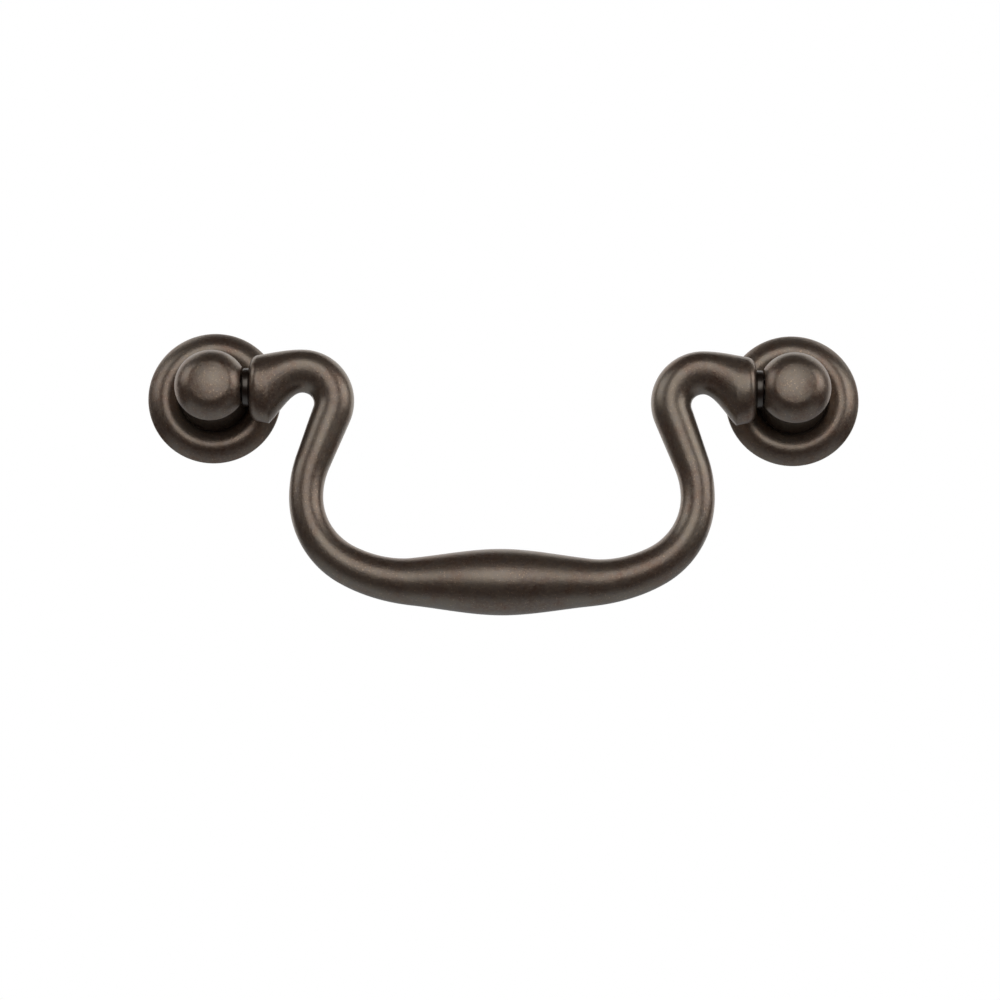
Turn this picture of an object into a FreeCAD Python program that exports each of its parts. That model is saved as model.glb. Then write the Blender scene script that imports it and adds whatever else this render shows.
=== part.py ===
import FreeCAD, Part
import math
import os

# Bail pull for a drawer: a swinging bail hung between two domed posts, each on a ring-shaped rosette.
# Millimetres. +X runs along the pull, +Z is up and the front faces -Y. The drawer front is the plane y = 0,
# and the origin lies on it, midway between the two screw holes.

# Screw holes
hole_spacing = 96.0             # centre to centre
tapped_radius = 1.65            # drilled for an M4 thread
bore_wall = 1.05                # metal between the tapped hole's end and the pivot bore

# Posts, turned about the screw axis
knob_radius = 5.95              # widest circle of the domed end
knob_ahead = 1.3                # pivot axis to the widest circle
crown_bend = 14.0               # radius of the knob's gently crowned front
crown_turn = 13.0               # degrees, where that front ends
brow_bend = 2.4                 # radius that turns the front into the dome's side
brow_turn = 33.0                # degrees
rim_bend = 0.7                  # radius that rounds the side into the widest circle
rim_turn = 74.0                 # degrees, where that rounding starts
waist_radius = 5.15             # narrowest part of the stem
waist_rise = 3.6                # foot of the stem to its narrowest part
foot_radius = 5.7               # where the stem sits on the rosette
spigot_radius = 3.9             # goes through the rosette
spigot_clearance = 0.1          # between the spigot and the rosette's hole
spigot_recess = 0.1             # keeps the spigot off the drawer front, so that the rosette is clamped

# Rosettes, turned about the screw axis
rosette_height = 2.4            # drawer front to the crest of the ring
web_thickness = 0.85            # floor of the rosette, under the post's foot
groove_width = 0.12             # post's foot to the ring's inner flank
crest_roundness = 2.5           # radius of the ring's top in section
flank_roundness = 5.6           # wider radius of its outer flank
ring_width = 2.93               # crest to the outer edge
shoulder_roundness = 0.6        # radius that rounds the outer edge
rim_height = 0.15               # upright outer edge at the drawer front

# Pivots
pin_radius = 1.7
pin_running_clearance = 0.05    # between the pin and the post's bore
pin_in_post = 3.2               # length of pin inside the post
pin_end_gap = 0.25              # between the pin's end and the bottom of the bore
pin_in_head = 4.0               # length of pin pressed into the bail's head
pin_chamfer = 0.3
collar_radius = 3.1             # the pin's shoulder, which fills the gap between the post and the bail
collar_clearance = 0.2          # between the collar and the post's flat
collar_chamfer = 0.15
facet_depth = 1.0               # widest circle of the knob to the flat that faces the bail
facet_radius = 3.4              # of that flat, about the pivot axis
side_play = 1.45                # between the flat and the bail's head

# Heads of the bail: oval bells, taller than they are deep, about an axis beside the pivot axis
head_radius = 5.85              # half height at the lip, where the head is widest
head_depth = 4.4                # half depth at the lip
head_clearance = 0.25           # between the swinging head and the crest of the ring
head_drop = 0.2                 # pivot axis down to the middle of the head
head_length = 3.2               # end face to the lip
head_corner = 1.7               # radius that rounds the end face into the side
head_taper = 11.0               # degrees, the side's slope out to the lip

# Bends of the bail's bar, from the top of the swan neck to the middle of the grip
crown_inset = 8.6               # head's end face to the top of the swan neck
crown_rise = 2.72               # pivot axis to the centre of the bar there
neck_bend = 5.3
leg_lean = 20.3                 # degrees, the upper leg off the vertical
leg_run = 8.56                  # straight part of the leg
leg_bend = 16.8
corner_bend = 13.0
corner_turn = 62.0              # degrees
ease_bend = 23.4                # wider bend that leads from the corner into the straight grip

# Thickness of the bail's bar
neck_diameter = 7.1             # at the top of the swan neck
bend_diameter = 6.5             # where the swan neck ends
leg_diameter = 5.6              # where the leg is widest apart
corner_diameter = 6.5           # where the corner ends
shoulder_diameter = 7.5         # where the grip's swelling starts
shoulder_reach = 16.0           # middle of the grip to that place
grip_diameter = 10.85           # in the middle of the grip
under_slope = 47.0              # degrees, the neck's underside where it leaves the head
neck_end = 2.4                  # head's end face to the end of the neck, inside the head
lip_step = 0.1                  # how far the head's lip stands out from the neck

section_step = 1.6              # longest distance between two sections of the bar
neck_sections = 8
bar_patches = 14                # faces along the bar

pivot_height = rosette_height + head_clearance + head_radius
pivot_y = -pivot_height
knob_plane = pivot_height + knob_ahead
pin_bore_radius = pin_radius + pin_running_clearance
post_x = hole_spacing / 2
facet_x = post_x - knob_radius + facet_depth
face_x = facet_x - side_play
crown_x = face_x - crown_inset

X_AXIS = FreeCAD.Vector(1, 0, 0)
Y_AXIS = FreeCAD.Vector(0, 1, 0)


def line(start, end):
    return Part.LineSegment(start, end).toShape()


def arc(start, middle, end):
    return Part.Arc(start, middle, end).toShape()


def turned(outline, centre, axis):
    """A solid of revolution from a closed outline with one side on its axis."""
    return Part.Face(Part.Wire(outline)).revolve(centre, axis, 360)


def arc_on_screw(side, centre, radius, start, end):
    """An arc in a plane through a screw axis, between two angles from straight ahead towards the outside.

    The centre is (distance from the axis, height above the drawer front).
    """
    points = []
    for angle in (start, (start + end) / 2, end):
        across = centre[0] + radius * math.sin(angle)
        height = centre[1] + radius * math.cos(angle)
        points.append(FreeCAD.Vector(side * post_x + across, -height, 0))
    return arc(*points)


def cylinder_along_x(start, end, radius):
    """A cylinder on the pivot axis."""
    low = min(start, end)
    return Part.makeCylinder(radius, abs(end - start), FreeCAD.Vector(low, pivot_y, 0), X_AXIS)


def cylinder_on_screw(side, radius, low, high):
    """A cylinder on a screw axis, between two heights above the drawer front."""
    return Part.makeCylinder(radius, high - low, FreeCAD.Vector(side * post_x, -high, 0), Y_AXIS)


def rosette(side):
    """The ring under a post, rounded in section, from its rim over the crest down to the post's foot."""
    def at(radius, height):
        return FreeCAD.Vector(side * post_x + radius, -height, 0)

    # The crest's arc runs down to the floor of the rosette, beside the post's foot.
    crest_h = rosette_height - crest_roundness
    inner = math.acos((web_thickness - crest_h) / crest_roundness)
    crest_r = foot_radius + groove_width + crest_roundness * math.sin(inner)
    edge_r = crest_r + ring_width

    # The outer flank's arc touches both the crest's arc and the shoulder's arc from outside them.
    shoulder_r = edge_r - shoulder_roundness
    across, down = shoulder_r - crest_r, crest_h - rim_height
    apart = math.hypot(across, down)
    to_crest, to_shoulder = flank_roundness - crest_roundness, flank_roundness - shoulder_roundness
    along = (to_crest**2 - to_shoulder**2 + apart**2) / (2 * apart)
    aside = math.sqrt(to_crest**2 - along**2)
    flank_r = crest_r + (along * across - aside * down) / apart
    flank_h = crest_h - (along * down + aside * across) / apart
    crest_end = math.atan2(crest_r - flank_r, crest_h - flank_h)
    flank_end = math.atan2(shoulder_r - flank_r, rim_height - flank_h)

    floor_r = foot_radius + groove_width
    outline = [
        line(at(0, web_thickness), at(0, 0)),
        line(at(0, 0), at(edge_r, 0)),
        line(at(edge_r, 0), at(edge_r, rim_height)),
        arc_on_screw(side, (shoulder_r, rim_height), shoulder_roundness, math.pi / 2, flank_end),
        arc_on_screw(side, (flank_r, flank_h), flank_roundness, flank_end, crest_end),
        arc_on_screw(side, (crest_r, crest_h), crest_roundness, crest_end, -inner),
        line(at(floor_r, web_thickness), at(0, web_thickness)),
    ]
    ring = turned(outline, at(0, 0), Y_AXIS)
    return ring.cut(cylinder_on_screw(side, spigot_radius + spigot_clearance, -web_thickness, rosette_height))


def post(side):
    """A post: a spigot, a waisted stem and a domed knob, with a flat and a bore on the side of the bail."""
    def at(radius, height):
        return FreeCAD.Vector(side * post_x + radius, -height, 0)

    # The dome's side takes the radius that carries the rim's arc and the brow's arc up to the crowned front.
    crown_a, brow_a, rim_a = (math.radians(turn) for turn in (crown_turn, brow_turn, rim_turn))
    side_bend = (knob_radius - rim_bend * (1 - math.sin(rim_a)) - brow_bend * (math.sin(brow_a) - math.sin(crown_a))
                 - crown_bend * math.sin(crown_a)) / (math.sin(rim_a) - math.sin(brow_a))
    rim = (knob_radius - rim_bend, knob_plane)
    flank = (rim[0] - (side_bend - rim_bend) * math.sin(rim_a), rim[1] - (side_bend - rim_bend) * math.cos(rim_a))
    brow = (flank[0] + (side_bend - brow_bend) * math.sin(brow_a),
            flank[1] + (side_bend - brow_bend) * math.cos(brow_a))
    crown = (0, brow[1] - (crown_bend - brow_bend) * math.cos(crown_a))

    widest = at(knob_radius, knob_plane)
    foot = at(foot_radius, web_thickness)
    waist = at(waist_radius, web_thickness + waist_rise)
    front = at(0, crown[1] + crown_bend)
    outline = [
        line(at(0, spigot_recess), at(spigot_radius, spigot_recess)),
        line(at(spigot_radius, spigot_recess), at(spigot_radius, web_thickness)),
        line(at(spigot_radius, web_thickness), foot),
        arc(foot, waist, widest),
        arc_on_screw(side, rim, rim_bend, math.pi / 2, rim_a),
        arc_on_screw(side, flank, side_bend, rim_a, brow_a),
        arc_on_screw(side, brow, brow_bend, brow_a, crown_a),
        arc_on_screw(side, crown, crown_bend, crown_a, 0),
        line(front, at(0, spigot_recess)),
    ]
    body = turned(outline, at(0, 0), Y_AXIS)
    bore_end = facet_x + pin_in_post + pin_end_gap
    tapped_end = pivot_height - pin_bore_radius - bore_wall
    flat = cylinder_along_x(side * (facet_x - knob_radius), side * facet_x, facet_radius)
    bore = cylinder_along_x(side * facet_x, side * bore_end, pin_bore_radius)
    tapped = cylinder_on_screw(side, tapped_radius, 0, tapped_end)
    print(f"knob {crown[1] + crown_bend:.2f} mm from the drawer to its front, side radius {side_bend:.2f} mm")
    return body.cut(flat).cut(bore).cut(tapped)


def chamfered(cylinder, size):
    """The cylinder with the edges of both its ends chamfered."""
    ends = [edge for edge in cylinder.Edges if edge.Curve.TypeId == "Part::GeomCircle"]
    return cylinder.makeChamfer(size, ends)


def pivot_pin(side):
    """A pin with a collar turned in one with it. The collar seats on the bail's head."""
    pin = cylinder_along_x(side * (face_x - pin_in_head), side * (facet_x + pin_in_post), pin_radius)
    collar = cylinder_along_x(side * face_x, side * (facet_x - collar_clearance), collar_radius)
    return chamfered(pin, pin_chamfer).fuse(chamfered(collar, collar_chamfer))


def head(side):
    """The bell-shaped end of the bail: a flat face, a rounded corner, a tapered side and a sharp back edge.

    It is turned first and then squeezed to its depth.
    """
    def at(x, radius):
        return FreeCAD.Vector(side * x, 0, radius)

    taper = math.radians(head_taper)
    back_x = face_x - head_length
    corner_x = face_x - head_corner * (1 - math.sin(taper))
    corner_r = head_radius - (corner_x - back_x) * math.tan(taper)
    face_r = corner_r - head_corner * math.cos(taper)
    halfway = (math.pi / 2 + taper) / 2
    middle = at(face_x - head_corner * (1 - math.sin(halfway)), face_r + head_corner * math.cos(halfway))
    outline = [
        line(at(face_x, 0), at(face_x, face_r)),
        arc(at(face_x, face_r), middle, at(corner_x, corner_r)),
        line(at(corner_x, corner_r), at(back_x, head_radius)),
        line(at(back_x, head_radius), at(back_x, 0)),
        line(at(back_x, 0), at(face_x, 0)),
    ]
    squeeze = FreeCAD.Matrix()
    squeeze.scale(1, head_depth / head_radius, 1)
    bell = turned(outline, at(face_x, 0), X_AXIS).transformGeometry(squeeze)
    return bell.translated(FreeCAD.Vector(0, pivot_y, -head_drop))


def bar_walk():
    """Half of the bar's centreline, walked from the top of the swan neck to the middle of the grip.

    Each station is (x, z, heading, distance), with the heading in degrees from +X.
    Also gives the distance walked at the end of each bend.
    """
    bends = [
        ("neck", neck_bend, 90 + leg_lean),
        ("run", leg_run, 0),
        ("leg", leg_bend, -leg_lean),
        ("corner", corner_bend, -corner_turn),
        ("ease", ease_bend, corner_turn - 90),
    ]
    x, z, heading, distance = crown_x, crown_rise, 180.0, 0.0
    stations = [(x, z, heading, distance)]
    ends = {"crown": 0.0}
    for name, size, turn in bends:
        length = size * abs(math.radians(turn)) if turn else size
        steps = math.ceil(length / section_step)
        start = (x, z, heading)
        for i in range(1, steps + 1):
            share = i / steps
            if turn:
                hand = math.copysign(1, turn)
                a = math.radians(start[2])
                b = math.radians(start[2] + turn * share)
                x = start[0] + hand * size * (math.sin(b) - math.sin(a))
                z = start[1] - hand * size * (math.cos(b) - math.cos(a))
                heading = start[2] + turn * share
            else:
                a = math.radians(start[2])
                x = start[0] + size * share * math.cos(a)
                z = start[1] + size * share * math.sin(a)
            stations.append((x, z, heading, distance + length * share))
        distance += length
        ends[name] = distance
    half_grip = x
    steps = math.ceil(half_grip / section_step)
    for i in range(1, steps + 1):
        share = i / steps
        stations.append((half_grip * (1 - share), z, heading, distance + half_grip * share))
    ends["middle"] = distance + half_grip
    return stations, ends


def eased(share, span, start, start_slope, end, end_slope=0.0):
    """A smooth curve over a span, at a share of its length, with the given values and slopes at its ends."""
    t = share
    return ((2 * t**3 - 3 * t**2 + 1) * start + (t**3 - 2 * t**2 + t) * span * start_slope
            + (3 * t**2 - 2 * t**3) * end + (t**3 - t**2) * span * end_slope)


def smooth_value(distance, knots):
    """A smooth curve through the knots (distance, value), level at its first and last knot."""
    slopes = [0.0]
    for before, after in zip(knots, knots[2:]):
        slopes.append((after[1] - before[1]) / (after[0] - before[0]))
    slopes.append(0.0)
    i = max(k for k in range(len(knots) - 1) if k == 0 or knots[k][0] <= distance)
    span = knots[i + 1][0] - knots[i][0]
    share = (distance - knots[i][0]) / span
    return eased(share, span, knots[i][1], slopes[i], knots[i + 1][1], slopes[i + 1])


def neck_stations():
    """Sections of the swan neck from inside the head to its top: (x, z, heading, radius, half width).

    The neck's top goes on at the head's taper, its sides run level and its underside leaves the lip steeply.
    """
    widening = math.tan(math.radians(head_taper))
    steepness = math.tan(math.radians(under_slope))
    lip_radius = head_radius - lip_step
    neck_radius = neck_diameter / 2
    length = crown_inset - head_length
    lip_depth = head_depth - lip_step
    inset = (head_length - neck_end) * widening
    stations = [(face_x - neck_end, -head_drop, 180.0, lip_radius - inset, lip_depth - inset)]
    for i in range(neck_sections):
        share = i / neck_sections
        top = eased(share, length, lip_radius - head_drop, widening, crown_rise + neck_radius)
        under = eased(share, length, -lip_radius - head_drop, steepness, crown_rise - neck_radius)
        width = eased(share, length, lip_depth, 0.0, neck_radius)
        x = face_x - head_length - length * share
        stations.append((x, (top + under) / 2, 180.0, (top - under) / 2, width))
    return stations


def pole_ring(x, z, heading, radius, width):
    """The poles of an ellipse square to the bar; it starts and ends on the side of the drawer front."""
    a = math.radians(heading)
    sideways = FreeCAD.Vector(-math.sin(a), 0, math.cos(a)) * radius
    backward = Y_AXIS * width
    centre = FreeCAD.Vector(x, pivot_y, z)
    corners = [(1, 0), (1, 1), (0, 1), (-1, 1), (-1, 0), (-1, -1), (0, -1), (1, -1), (1, 0)]
    return [centre + backward * along + sideways * across for along, across in corners]


def bar_surface(stations):
    """A smooth tube that follows the stations (x, z, heading, radius, half width).

    Four quarter arcs make each section, so it has nine poles, and every second one is weighted.
    """
    rings = [pole_ring(*station) for station in stations]
    count = len(rings)
    poles = [[ring[i] for ring in rings] for i in range(9)]
    weights = [[1.0 if i % 2 == 0 else math.sqrt(0.5)] * count for i in range(9)]
    surface = Part.BSplineSurface()
    surface.buildFromPolesMultsKnots(poles, [3, 2, 2, 2, 3], [4] + [1] * (count - 4) + [4],
                                     list(range(5)), list(range(count - 2)), False, False, 2, 3, weights)
    return surface


def bar():
    """The round bar of the bail: swan necks that flare into the heads, legs and a swelling grip."""
    walk, ends = bar_walk()
    knots = [
        (ends["crown"], neck_diameter),
        (ends["neck"], bend_diameter),
        (ends["leg"], leg_diameter),
        (ends["corner"], corner_diameter),
        (ends["middle"] - shoulder_reach, shoulder_diameter),
        (ends["middle"], grip_diameter),
    ]
    half = neck_stations()
    for x, z, heading, distance in walk:
        radius = smooth_value(distance, knots) / 2
        half.append((x, z, heading, radius, radius))
    mirrored = [(-x, z, -heading, radius, width) for x, z, heading, radius, width in reversed(half[:-1])]

    surface = bar_surface(half + mirrored)
    last = surface.bounds()[3]
    cuts = [last * i / bar_patches for i in range(bar_patches + 1)]
    faces = []
    for start, end in zip(cuts, cuts[1:]):
        patch = surface.copy()
        patch.segment(0, 4, start, end)
        faces.append(patch.toShape())
    faces += [Part.Face(Part.Wire([surface.vIso(end).toShape()])) for end in (0, last)]
    shell = Part.Shell(faces)
    shell.sewShape()
    solid = Part.Solid(shell)
    if solid.Volume < 0:
        solid.reverse()
    return solid


def bail():
    """The bail as one casting, with a hole in each head for its pin."""
    body = bar().fuse([head(-1), head(1)])
    for side in (-1, 1):
        hole = cylinder_along_x(side * (face_x - pin_in_head), side * (face_x + side_play / 2), pin_radius)
        body = body.cut(hole)
    return body


def save(shape, node):
    solid = shape.Solids[0]
    print(f"{node}: {len(shape.Solids)} solid, valid {shape.isValid()}, volume {solid.Volume:.1f} mm3")
    solid.exportStep(f"parts/{node}.step")


os.makedirs("parts", exist_ok=True)
save(bail(), "bail")
for side, name in ((-1, "left"), (1, "right")):
    save(post(side), f"post_{name}")
    save(rosette(side), f"rosette_{name}")
    save(pivot_pin(side), f"pivot_pin_{name}")
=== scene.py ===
# %% [markdown]
# A swinging bail pull for a drawer, finished in dark antique bronze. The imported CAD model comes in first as
# a fixed frame: it says where every piece sits and how it moves. Everything below only gives those pieces
# their looks, so each new piece is built in the same place, in metres, and stands for the plain solid of
# its name.

# %% Load the fixed frame
import math

import bmesh
import bpy
from mathutils import Matrix, Vector


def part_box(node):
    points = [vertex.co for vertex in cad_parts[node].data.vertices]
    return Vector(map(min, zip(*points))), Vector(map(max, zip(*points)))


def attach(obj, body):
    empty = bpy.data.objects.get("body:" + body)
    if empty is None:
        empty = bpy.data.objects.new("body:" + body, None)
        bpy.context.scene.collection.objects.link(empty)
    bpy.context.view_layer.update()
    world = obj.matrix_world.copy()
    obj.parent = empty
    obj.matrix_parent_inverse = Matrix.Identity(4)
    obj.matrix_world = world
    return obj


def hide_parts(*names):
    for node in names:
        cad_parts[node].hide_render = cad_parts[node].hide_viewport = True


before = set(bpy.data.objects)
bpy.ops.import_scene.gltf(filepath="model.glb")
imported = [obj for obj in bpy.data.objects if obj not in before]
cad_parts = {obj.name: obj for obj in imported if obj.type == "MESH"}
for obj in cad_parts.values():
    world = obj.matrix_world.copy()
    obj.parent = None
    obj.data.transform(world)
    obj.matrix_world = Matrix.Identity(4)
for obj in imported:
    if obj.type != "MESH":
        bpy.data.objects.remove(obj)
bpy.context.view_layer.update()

# %% [markdown]
# The sizes are those of the real pull, in millimetres. The axes run as on the drawer: X along the pull, Z
# up, and the front faces -Y. The places of the screws and of the pivot axis could be typed in, but they are
# read from the frame, so that the new pieces can't drift from the CAD model.

# %% Places read from the frame
MM = 0.001
X_WAY = Vector((1, 0, 0))
Y_WAY = Vector((0, 1, 0))
Z_WAY = Vector((0, 0, 1))
pin_low, pin_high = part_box("pivot_pin_right")
rosette_low, rosette_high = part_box("rosette_right")
post_x = (rosette_low.x + rosette_high.x) / 2 / MM
pivot_y = (pin_low.y + pin_high.y) / 2 / MM
pivot_height = -pivot_y             # above the drawer front, as every height below
print(f"screws {2 * post_x:.1f} mm apart, pivot axis {pivot_height:.2f} mm in front of the drawer")

# %% [markdown]
# Every piece here is round somewhere: a post and a rosette are turned about their screw, a pin about its
# own axis, and the bail is one long bar that bends. They could come from Screw modifiers and a bevelled
# curve, but one rule can skin them all. A piece is a list of rings, each with a centre, two directions to
# measure its circle in, and a radius, and a Geometry Nodes tree lays a grid over the rings. That gives
# clean rows of four-sided faces with no seams, so that nothing breaks the soft reflections of a satin
# metal. The tree and the materials are built with one helper, which adds a node, sets it up and links it.

# %% A helper that adds one node
def add_node(tree, kind, inputs=None, output=0, **settings):
    """Adds a node and gives one of its outputs. Each input takes a value or another node's output."""
    node = tree.nodes.new(kind)
    for name, value in settings.items():
        setattr(node, name, value)
    for socket, value in (inputs or {}).items():
        if isinstance(value, bpy.types.NodeSocket):
            tree.links.new(value, node.inputs[socket])
        else:
            node.inputs[socket].default_value = value
    return node.outputs[output] if len(node.outputs) else None


# %% The skin tree and its named inputs
SKIN = bpy.data.node_groups.new("skin_of_rings", "GeometryNodeTree")
for name, kind in (("Rings", "NodeSocketGeometry"), ("Points per ring", "NodeSocketInt"),
                   ("Thread pitch", "NodeSocketFloat"), ("Thread depth", "NodeSocketFloat"),
                   ("Finish", "NodeSocketMaterial")):
    SKIN.interface.new_socket(name, in_out="INPUT", socket_type=kind)
SKIN.interface.new_socket("Skin", in_out="OUTPUT", socket_type="NodeSocketGeometry")
given = SKIN.nodes.new("NodeGroupInput").outputs
print("the skin tree takes", ", ".join(socket.name for socket in given if socket.name))

# %% [markdown]
# The rings come in as loose points that carry their measures. The tree makes a flat grid with a row for
# each ring, and each corner of the grid asks its own ring for those measures.

# %% A grid with a row for each ring
ring_count = add_node(SKIN, "GeometryNodeAttributeDomainSize", {0: given["Rings"]}, component="MESH")
# There is one column more than there are points, so that the last one closes the ring.
columns = add_node(SKIN, "FunctionNodeIntegerMath", {0: given["Points per ring"], 1: 1}, operation="ADD")
grid = add_node(SKIN, "GeometryNodeMeshGrid", {"Vertices X": ring_count, "Vertices Y": columns})
grid_index = add_node(SKIN, "GeometryNodeInputIndex")
grid_row = add_node(SKIN, "FunctionNodeIntegerMath", {0: grid_index, 1: columns}, operation="DIVIDE_FLOOR")
grid_column = add_node(SKIN, "FunctionNodeIntegerMath", {0: grid_index, 1: columns}, operation="MODULO")
turned = add_node(SKIN, "ShaderNodeMath", {0: grid_column, 1: given["Points per ring"]}, operation="DIVIDE")

# %% What a ring carries
RING_VECTORS = ("centre", "across", "along")
RING_VALUES = ("radius", "sag", "thread", "depth", "black_and_shade", "worn")


def from_ring(name, kind):
    """A measure of the ring that a corner of the grid belongs to."""
    value = add_node(SKIN, "GeometryNodeInputNamedAttribute", {"Name": name}, data_type=kind)
    sample = {"Geometry": given["Rings"], "Value": value, "Index": grid_row}
    return add_node(SKIN, "GeometryNodeSampleIndex", sample, data_type=kind, domain="POINT")


carried = {name: from_ring(name, "FLOAT_VECTOR") for name in RING_VECTORS}
carried.update({name: from_ring(name, "FLOAT") for name in RING_VALUES})
print("a ring carries", ", ".join(carried))

# %% [markdown]
# The posts are tapped for a screw. A thread is a groove that climbs one pitch in each turn, so its depth at
# any corner of the grid follows from how far the corner is turned and how deep in the hole it lies.
# Modelling it this way costs no separate helix, and rings that are not threaded just multiply the groove by
# zero.

# %% The groove of the thread
climb = add_node(SKIN, "ShaderNodeMath", {0: carried["depth"], 1: given["Thread pitch"]}, operation="DIVIDE")
phase = add_node(SKIN, "ShaderNodeMath", {0: climb, 1: turned}, operation="ADD")
# The wave rises to a half and falls again in each turn, so it is multiplied by twice the depth.
wave = add_node(SKIN, "ShaderNodeMath", {0: phase, 1: 0.5}, operation="PINGPONG")
cut = add_node(SKIN, "ShaderNodeMath", {0: given["Thread depth"], 1: 2.0}, operation="MULTIPLY")
groove = add_node(SKIN, "ShaderNodeMath", {0: wave, 1: cut}, operation="MULTIPLY")
grooved_radius = add_node(SKIN, "ShaderNodeMath", {0: groove, 1: carried["thread"], 2: carried["radius"]},
                          operation="MULTIPLY_ADD")

# %% [markdown]
# Where the swan neck flares into a head, the casting is taller than it is deep, and it hangs further below
# its widest line than it rises above it, like an egg on its side. So a ring also has a sag, which says how
# much further it reaches below. The cosine goes across the ring and the sine goes along it.

# %% Round the ring
angle = add_node(SKIN, "ShaderNodeMath", {0: turned, 1: math.tau}, operation="MULTIPLY")
cosine = add_node(SKIN, "ShaderNodeMath", {0: angle}, operation="COSINE")
sine = add_node(SKIN, "ShaderNodeMath", {0: angle}, operation="SINE")
below = add_node(SKIN, "ShaderNodeMath", {0: sine, 1: 0.0}, operation="MAXIMUM")
sagging = add_node(SKIN, "ShaderNodeMath", {0: below, 1: carried["sag"]}, operation="MULTIPLY")
reach_across = add_node(SKIN, "ShaderNodeMath", {0: grooved_radius, 1: cosine}, operation="MULTIPLY")
reach_along = add_node(SKIN, "ShaderNodeMath", {0: grooved_radius, 1: sine, 2: sagging},
                       operation="MULTIPLY_ADD")
corner = carried["centre"]
for direction, reach in ((carried["across"], reach_across), (carried["along"], reach_along)):
    corner = add_node(SKIN, "ShaderNodeVectorMath", {0: direction, 1: reach, 2: corner},
                      operation="MULTIPLY_ADD")

# %% The skin with its marks and its finish
seam_gap = 0.001 * MM               # corners this near each other are one
skin = add_node(SKIN, "GeometryNodeSetPosition", {"Geometry": grid, "Position": corner})
for name in ("black_and_shade", "worn"):
    stored = {"Geometry": skin, "Name": name, "Value": carried[name]}
    skin = add_node(SKIN, "GeometryNodeStoreNamedAttribute", stored, data_type="FLOAT", domain="POINT")
skin = add_node(SKIN, "GeometryNodeMergeByDistance", {"Geometry": skin, "Distance": seam_gap})
skin = add_node(SKIN, "GeometryNodeSetShadeSmooth", {"Geometry": skin})
skin = add_node(SKIN, "GeometryNodeRealizeInstances", {"Geometry": skin})
skin = add_node(SKIN, "GeometryNodeSetMaterial", {"Geometry": skin, "Material": given["Finish"]})
add_node(SKIN, "NodeGroupOutput", {"Skin": skin})
print("skin tree:", len(SKIN.nodes), "nodes")

# %% [markdown]
# A modifier could stay on each piece, but the frame wants plain meshes. So the tree's inputs are set by
# the identifiers of its sockets, the object is evaluated once, and the result is copied out as a mesh of
# its own. The grid doesn't know its inside from its outside, so a shell with a negative volume is turned
# round.

# %% From an object with modifiers to a plain mesh
def new_object(name, mesh):
    thing = bpy.data.objects.new(name, mesh)
    bpy.context.scene.collection.objects.link(thing)
    return thing


def plain_mesh(thing, name):
    """The thing as it looks with its modifiers, as a mesh of its own. The thing itself goes."""
    graph = bpy.context.evaluated_depsgraph_get()
    shown = thing.evaluated_get(graph)
    mesh = bpy.data.meshes.new_from_object(shown, preserve_all_data_layers=True, depsgraph=graph)
    old = thing.data
    bpy.data.objects.remove(thing)
    bpy.data.meshes.remove(old)
    mesh.name = name
    return mesh


# %% From rings to a finished piece
thread_pitch = 0.7                  # that of an M4 thread
thread_depth = 0.38


def ring(centre, across, along, radius, sag=0.0, thread=0.0, depth=0.0, black_and_shade=0.0, worn=0.0):
    """One ring, from millimetres to metres."""
    return {"centre": centre * MM, "across": across, "along": along, "radius": radius * MM, "sag": sag * MM,
            "thread": thread, "depth": depth * MM, "black_and_shade": black_and_shade, "worn": worn}


def skinned(name, rings, finish, points):
    """A closed piece from its rings, with so many points to a ring and its faces pointing outwards."""
    mesh = bpy.data.meshes.new(name + "_rings")
    mesh.from_pydata([r["centre"] for r in rings], [], [])
    for key in RING_VECTORS:
        values = [c for r in rings for c in r[key]]
        mesh.attributes.new(key, "FLOAT_VECTOR", "POINT").data.foreach_set("vector", values)
    for key in RING_VALUES:
        mesh.attributes.new(key, "FLOAT", "POINT").data.foreach_set("value", [r[key] for r in rings])
    thing = new_object(name + "_rings", mesh)
    modifier = thing.modifiers.new("skin", "NODES")
    modifier.node_group = SKIN
    sizes = {"Points per ring": points, "Thread pitch": thread_pitch * MM, "Thread depth": thread_depth * MM,
             "Finish": finish}
    for socket in SKIN.interface.items_tree:
        if socket.in_out == "INPUT" and socket.name in sizes:
            modifier[socket.identifier] = sizes[socket.name]
    mesh = plain_mesh(thing, name)
    shell = bmesh.new()
    shell.from_mesh(mesh)
    if shell.calc_volume(signed=True) < 0:
        bmesh.ops.reverse_faces(shell, faces=shell.faces)
    shell.to_mesh(mesh)
    print(f"{name}: {len(mesh.polygons)} faces, volume {shell.calc_volume() / MM**3:.1f} mm3")
    shell.free()
    return new_object(name, mesh)


# %% [markdown]
# A turner thinks of a piece as half of its outline: straight cuts, rounded corners and arcs that run into
# each other. The next helpers draw such outlines, and two more turn them into rings about a screw or about
# the pivot axis. Drawing the arcs point by point, instead of bevelling a finished mesh, keeps the rows of
# faces even.

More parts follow.
